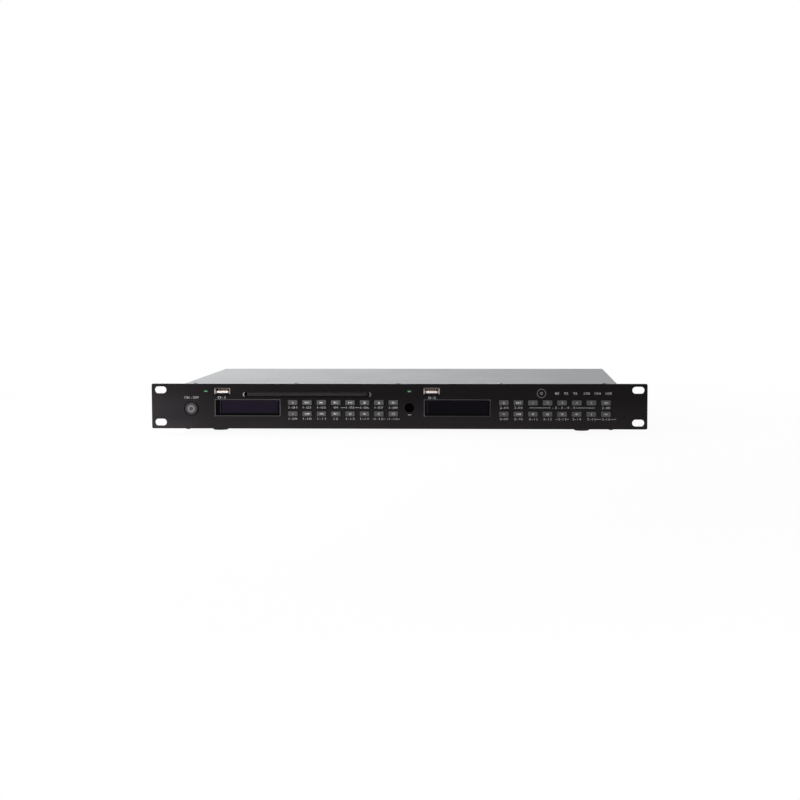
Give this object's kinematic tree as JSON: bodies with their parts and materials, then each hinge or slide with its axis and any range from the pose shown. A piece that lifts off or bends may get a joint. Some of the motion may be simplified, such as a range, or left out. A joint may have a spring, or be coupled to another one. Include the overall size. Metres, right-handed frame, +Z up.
{
  "type": "rack disc player",
  "caption": "Rack-mounted slot-loading disc player with USB sockets and a tuner, for disc jockeys and fixed installations.",
  "frame": {"origin": "centre of the four-slot rack pattern, on the rear face of the front panel", "axes": "+X to the right seen from the front, +Y from the panel to the back of the case, +Z up"},
  "size_m": [0.4826, 0.2852, 0.0489],
  "materials": {
    "panel_black": "fine satin black anodised",
    "tray_steel": "bare zinc-plated sheet",
    "case_grey": "satin grey powder coat",
    "foot_rubber": "matt",
    "screw_black": "black zinc",
    "felt_black": "short felt",
    "window_dark": "gloss smoked acrylic",
    "module_black": "matt",
    "light_green": "translucent green, lit",
    "eye_dark": "gloss infrared-pass filter",
    "usb_metal": "bright nickel plate",
    "board_green": "solder-resist green",
    "can_steel": "tin plate",
    "inlet_black": "matt",
    "jack_black": "matt with plated barrels",
    "mech_black": "moulded, fine grain",
    "motor_steel": "drawn can",
    "ribbon_white": "laminated",
    "button_grey": "satin with a pale ring",
    "turntable_black": "matt",
    "roller_rubber": "matt",
    "arm_white": "moulded",
    "sled_metal": "die cast",
    "screw_steel": "bright",
    "gear_white": "moulded",
    "key_grey": "satin grey moulding"
  },
  "bodies": {
    "chassis": {"front_panel": "panel_black", "chassis_tray": "tray_steel", "top_cover": "case_grey", "feet": "foot_rubber", "case_screws": "screw_black", "slot_felt": "felt_black", "display_windows": "window_dark", "display_modules": "module_black", "status_lights": "light_green", "ir_receiver": "eye_dark", "usb_sockets": "usb_metal", "key_boards": "board_green", "main_board": "board_green", "power_board": "board_green", "tuner_module": "can_steel", "mains_inlet": "inlet_black", "audio_jacks": "jack_black", "mech_base": "mech_black", "disc_guide": "mech_black", "drive_motors": "motor_steel", "ribbon_cables": "ribbon_white"},
    "disc_key_volume_up": {"disc_key_volume_up": "key_grey"},
    "disc_key_next": {"disc_key_next": "key_grey"},
    "disc_key_skip_forward": {"disc_key_skip_forward": "key_grey"},
    "disc_key_folder_up": {"disc_key_folder_up": "key_grey"},
    "disc_key_play_pause": {"disc_key_play_pause": "key_grey"},
    "disc_key_stop": {"disc_key_stop": "key_grey"},
    "disc_key_eject": {"disc_key_eject": "key_grey"},
    "disc_key_mode": {"disc_key_mode": "key_grey"},
    "disc_key_volume_down": {"disc_key_volume_down": "key_grey"},
    "disc_key_previous": {"disc_key_previous": "key_grey"},
    "disc_key_skip_back": {"disc_key_skip_back": "key_grey"},
    "disc_key_folder_down": {"disc_key_folder_down": "key_grey"},
    "disc_key_program": {"disc_key_program": "key_grey"},
    "disc_key_mute": {"disc_key_mute": "key_grey"},
    "disc_key_repeat": {"disc_key_repeat": "key_grey"},
    "disc_key_display": {"disc_key_display": "key_grey"},
    "tuner_key_volume_up": {"tuner_key_volume_up": "key_grey"},
    "tuner_key_next": {"tuner_key_next": "key_grey"},
    "tuner_key_preset_1": {"tuner_key_preset_1": "key_grey"},
    "tuner_key_preset_2": {"tuner_key_preset_2": "key_grey"},
    "tuner_key_preset_3": {"tuner_key_preset_3": "key_grey"},
    "tuner_key_preset_4": {"tuner_key_preset_4": "key_grey"},
    "tuner_key_preset_5": {"tuner_key_preset_5": "key_grey"},
    "tuner_key_mode": {"tuner_key_mode": "key_grey"},
    "tuner_key_volume_down": {"tuner_key_volume_down": "key_grey"},
    "tuner_key_previous": {"tuner_key_previous": "key_grey"},
    "tuner_key_enter": {"tuner_key_enter": "key_grey"},
    "tuner_key_menu": {"tuner_key_menu": "key_grey"},
    "tuner_key_preset": {"tuner_key_preset": "key_grey"},
    "tuner_key_mute": {"tuner_key_mute": "key_grey"},
    "tuner_key_info": {"tuner_key_info": "key_grey"},
    "tuner_key_auto_scan": {"tuner_key_auto_scan": "key_grey"},
    "standby_button": {"standby_button": "button_grey"},
    "disc_turntable": {"disc_turntable": "turntable_black"},
    "feed_roller": {"feed_roller": "roller_rubber"},
    "clamp_arm": {"clamp_arm": "arm_white"},
    "laser_sled": {"laser_sled": "sled_metal"},
    "sled_screw": {"sled_screw": "screw_steel"},
    "loading_pinion": {"loading_pinion": "gear_white"}
  },
  "joints": [
    {"name": "disc_key_volume_up_press", "type": "slide", "parent": "chassis", "child": "disc_key_volume_up", "axis": [0, 1, 0], "range_m": [0, 0.0005], "stiffness_N_per_m": 1500},
    {"name": "disc_key_next_press", "type": "slide", "parent": "chassis", "child": "disc_key_next", "axis": [0, 1, 0], "range_m": [0, 0.0005], "stiffness_N_per_m": 1500},
    {"name": "disc_key_skip_forward_press", "type": "slide", "parent": "chassis", "child": "disc_key_skip_forward", "axis": [0, 1, 0], "range_m": [0, 0.0005], "stiffness_N_per_m": 1500},
    {"name": "disc_key_folder_up_press", "type": "slide", "parent": "chassis", "child": "disc_key_folder_up", "axis": [0, 1, 0], "range_m": [0, 0.0005], "stiffness_N_per_m": 1500},
    {"name": "disc_key_play_pause_press", "type": "slide", "parent": "chassis", "child": "disc_key_play_pause", "axis": [0, 1, 0], "range_m": [0, 0.0005], "stiffness_N_per_m": 1500},
    {"name": "disc_key_stop_press", "type": "slide", "parent": "chassis", "child": "disc_key_stop", "axis": [0, 1, 0], "range_m": [0, 0.0005], "stiffness_N_per_m": 1500},
    {"name": "disc_key_eject_press", "type": "slide", "parent": "chassis", "child": "disc_key_eject", "axis": [0, 1, 0], "range_m": [0, 0.0005], "stiffness_N_per_m": 1500},
    {"name": "disc_key_mode_press", "type": "slide", "parent": "chassis", "child": "disc_key_mode", "axis": [0, 1, 0], "range_m": [0, 0.0005], "stiffness_N_per_m": 1500},
    {"name": "disc_key_volume_down_press", "type": "slide", "parent": "chassis", "child": "disc_key_volume_down", "axis": [0, 1, 0], "range_m": [0, 0.0005], "stiffness_N_per_m": 1500},
    {"name": "disc_key_previous_press", "type": "slide", "parent": "chassis", "child": "disc_key_previous", "axis": [0, 1, 0], "range_m": [0, 0.0005], "stiffness_N_per_m": 1500},
    {"name": "disc_key_skip_back_press", "type": "slide", "parent": "chassis", "child": "disc_key_skip_back", "axis": [0, 1, 0], "range_m": [0, 0.0005], "stiffness_N_per_m": 1500},
    {"name": "disc_key_folder_down_press", "type": "slide", "parent": "chassis", "child": "disc_key_folder_down", "axis": [0, 1, 0], "range_m": [0, 0.0005], "stiffness_N_per_m": 1500},
    {"name": "disc_key_program_press", "type": "slide", "parent": "chassis", "child": "disc_key_program", "axis": [0, 1, 0], "range_m": [0, 0.0005], "stiffness_N_per_m": 1500},
    {"name": "disc_key_mute_press", "type": "slide", "parent": "chassis", "child": "disc_key_mute", "axis": [0, 1, 0], "range_m": [0, 0.0005], "stiffness_N_per_m": 1500},
    {"name": "disc_key_repeat_press", "type": "slide", "parent": "chassis", "child": "disc_key_repeat", "axis": [0, 1, 0], "range_m": [0, 0.0005], "stiffness_N_per_m": 1500},
    {"name": "disc_key_display_press", "type": "slide", "parent": "chassis", "child": "disc_key_display", "axis": [0, 1, 0], "range_m": [0, 0.0005], "stiffness_N_per_m": 1500},
    {"name": "tuner_key_volume_up_press", "type": "slide", "parent": "chassis", "child": "tuner_key_volume_up", "axis": [0, 1, 0], "range_m": [0, 0.0005], "stiffness_N_per_m": 1500},
    {"name": "tuner_key_next_press", "type": "slide", "parent": "chassis", "child": "tuner_key_next", "axis": [0, 1, 0], "range_m": [0, 0.0005], "stiffness_N_per_m": 1500},
    {"name": "tuner_key_preset_1_press", "type": "slide", "parent": "chassis", "child": "tuner_key_preset_1", "axis": [0, 1, 0], "range_m": [0, 0.0005], "stiffness_N_per_m": 1500},
    {"name": "tuner_key_preset_2_press", "type": "slide", "parent": "chassis", "child": "tuner_key_preset_2", "axis": [0, 1, 0], "range_m": [0, 0.0005], "stiffness_N_per_m": 1500},
    {"name": "tuner_key_preset_3_press", "type": "slide", "parent": "chassis", "child": "tuner_key_preset_3", "axis": [0, 1, 0], "range_m": [0, 0.0005], "stiffness_N_per_m": 1500},
    {"name": "tuner_key_preset_4_press", "type": "slide", "parent": "chassis", "child": "tuner_key_preset_4", "axis": [0, 1, 0], "range_m": [0, 0.0005], "stiffness_N_per_m": 1500},
    {"name": "tuner_key_preset_5_press", "type": "slide", "parent": "chassis", "child": "tuner_key_preset_5", "axis": [0, 1, 0], "range_m": [0, 0.0005], "stiffness_N_per_m": 1500},
    {"name": "tuner_key_mode_press", "type": "slide", "parent": "chassis", "child": "tuner_key_mode", "axis": [0, 1, 0], "range_m": [0, 0.0005], "stiffness_N_per_m": 1500},
    {"name": "tuner_key_volume_down_press", "type": "slide", "parent": "chassis", "child": "tuner_key_volume_down", "axis": [0, 1, 0], "range_m": [0, 0.0005], "stiffness_N_per_m": 1500},
    {"name": "tuner_key_previous_press", "type": "slide", "parent": "chassis", "child": "tuner_key_previous", "axis": [0, 1, 0], "range_m": [0, 0.0005], "stiffness_N_per_m": 1500},
    {"name": "tuner_key_enter_press", "type": "slide", "parent": "chassis", "child": "tuner_key_enter", "axis": [0, 1, 0], "range_m": [0, 0.0005], "stiffness_N_per_m": 1500},
    {"name": "tuner_key_menu_press", "type": "slide", "parent": "chassis", "child": "tuner_key_menu", "axis": [0, 1, 0], "range_m": [0, 0.0005], "stiffness_N_per_m": 1500},
    {"name": "tuner_key_preset_press", "type": "slide", "parent": "chassis", "child": "tuner_key_preset", "axis": [0, 1, 0], "range_m": [0, 0.0005], "stiffness_N_per_m": 1500},
    {"name": "tuner_key_mute_press", "type": "slide", "parent": "chassis", "child": "tuner_key_mute", "axis": [0, 1, 0], "range_m": [0, 0.0005], "stiffness_N_per_m": 1500},
    {"name": "tuner_key_info_press", "type": "slide", "parent": "chassis", "child": "tuner_key_info", "axis": [0, 1, 0], "range_m": [0, 0.0005], "stiffness_N_per_m": 1500},
    {"name": "tuner_key_auto_scan_press", "type": "slide", "parent": "chassis", "child": "tuner_key_auto_scan", "axis": [0, 1, 0], "range_m": [0, 0.0005], "stiffness_N_per_m": 1500},
    {"name": "standby_press", "type": "slide", "parent": "chassis", "child": "standby_button", "axis": [0, 1, 0], "range_m": [0, 0.0005], "stiffness_N_per_m": 1500},
    {"name": "turntable_spin", "type": "hinge", "parent": "chassis", "child": "disc_turntable", "pos_m": [-0.0884, 0.084, 0], "axis": [0, 0, 1], "continuous": true},
    {"name": "roller_spin", "type": "hinge", "parent": "chassis", "child": "feed_roller", "pos_m": [-0.0884, 0.021, 0.0066], "axis": [1, 0, 0], "continuous": true},
    {"name": "pinion_spin", "type": "hinge", "parent": "chassis", "child": "loading_pinion", "pos_m": [-0.0884, 0.02998, 0.00108], "axis": [1, 0, 0], "continuous": true},
    {"name": "clamp_hinge", "type": "hinge", "parent": "chassis", "child": "clamp_arm", "pos_m": [-0.0884, 0.148, 0.0162], "axis": [1, 0, 0], "range_deg": [0, 1.4]},
    {"name": "sled_slide", "type": "slide", "parent": "chassis", "child": "laser_sled", "axis": [0, 1, 0], "range_m": [0, 0.035]},
    {"name": "sled_screw_spin", "type": "hinge", "parent": "chassis", "child": "sled_screw", "pos_m": [-0.0564, 0.1, 0], "axis": [0, 1, 0], "range_deg": [0, 4210]}
  ],
  "couplings": [
    {"joint": "pinion_spin", "follows": "roller_spin", "ratio": -2},
    {"joint": "sled_screw_spin", "follows": "sled_slide", "rad_per_m": 2094.4}
  ]
}
